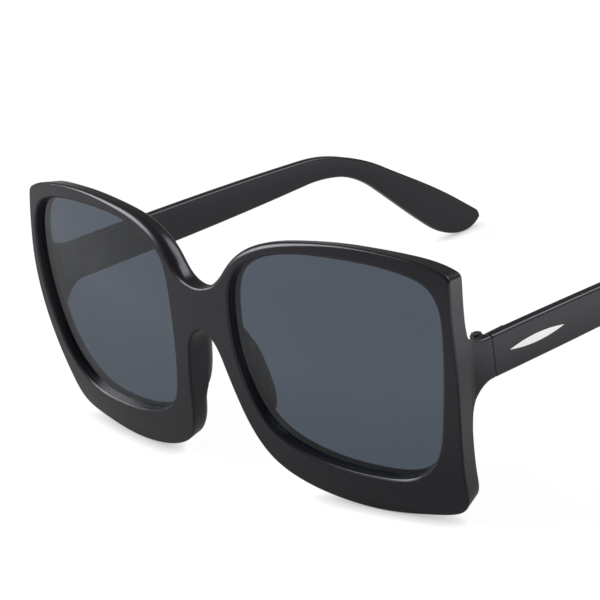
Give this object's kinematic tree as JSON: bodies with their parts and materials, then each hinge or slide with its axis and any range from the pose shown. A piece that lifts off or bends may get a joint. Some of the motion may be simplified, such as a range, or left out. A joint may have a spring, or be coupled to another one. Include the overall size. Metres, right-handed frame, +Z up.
{
  "type": "sunglasses",
  "caption": "Oversized square sunglasses: thick curved plastic front with smoke lenses in grooves, glued nose pads and folding wire-cored temples on riveted knuckle hinges.",
  "frame": {"origin": "on the table under the middle of the open glasses: midway between the foremost line of the front and the ends of the temples", "axes": "+X to the wearer's left, +Y back along the temples, +Z up"},
  "size_m": [0.1457, 0.164, 0.065],
  "materials": {
    "frame": "polished",
    "smoke_lens": "polished",
    "pad": "satin",
    "hinge_metal": "satin",
    "screw_metal": "satin",
    "core_wire": "matte",
    "inlay_metal": "polished"
  },
  "bodies": {
    "front": {"front_frame": "frame", "left_lens": "smoke_lens", "right_lens": "smoke_lens", "left_nose_pad": "pad", "right_nose_pad": "pad", "left_front_hinge": "hinge_metal", "right_front_hinge": "hinge_metal", "left_front_rivets": "hinge_metal", "right_front_rivets": "hinge_metal", "left_hinge_screw": "screw_metal", "right_hinge_screw": "screw_metal"},
    "left_arm": {"left_temple": "frame", "left_temple_core": "core_wire", "left_temple_hinge": "hinge_metal", "left_temple_rivets": "hinge_metal", "left_temple_inlay": "inlay_metal"},
    "right_arm": {"right_temple": "frame", "right_temple_core": "core_wire", "right_temple_hinge": "hinge_metal", "right_temple_rivets": "hinge_metal", "right_temple_inlay": "inlay_metal"}
  },
  "joints": [
    {"name": "left_fold", "type": "hinge", "parent": "front", "child": "left_arm", "pos_m": [0.06696, -0.05965, 0.0389], "axis": [0, 0, 1], "range_deg": [0, 90]},
    {"name": "right_fold", "type": "hinge", "parent": "front", "child": "right_arm", "pos_m": [-0.06696, -0.05965, 0.0389], "axis": [0, 0, -1], "range_deg": [0, 85]}
  ]
}
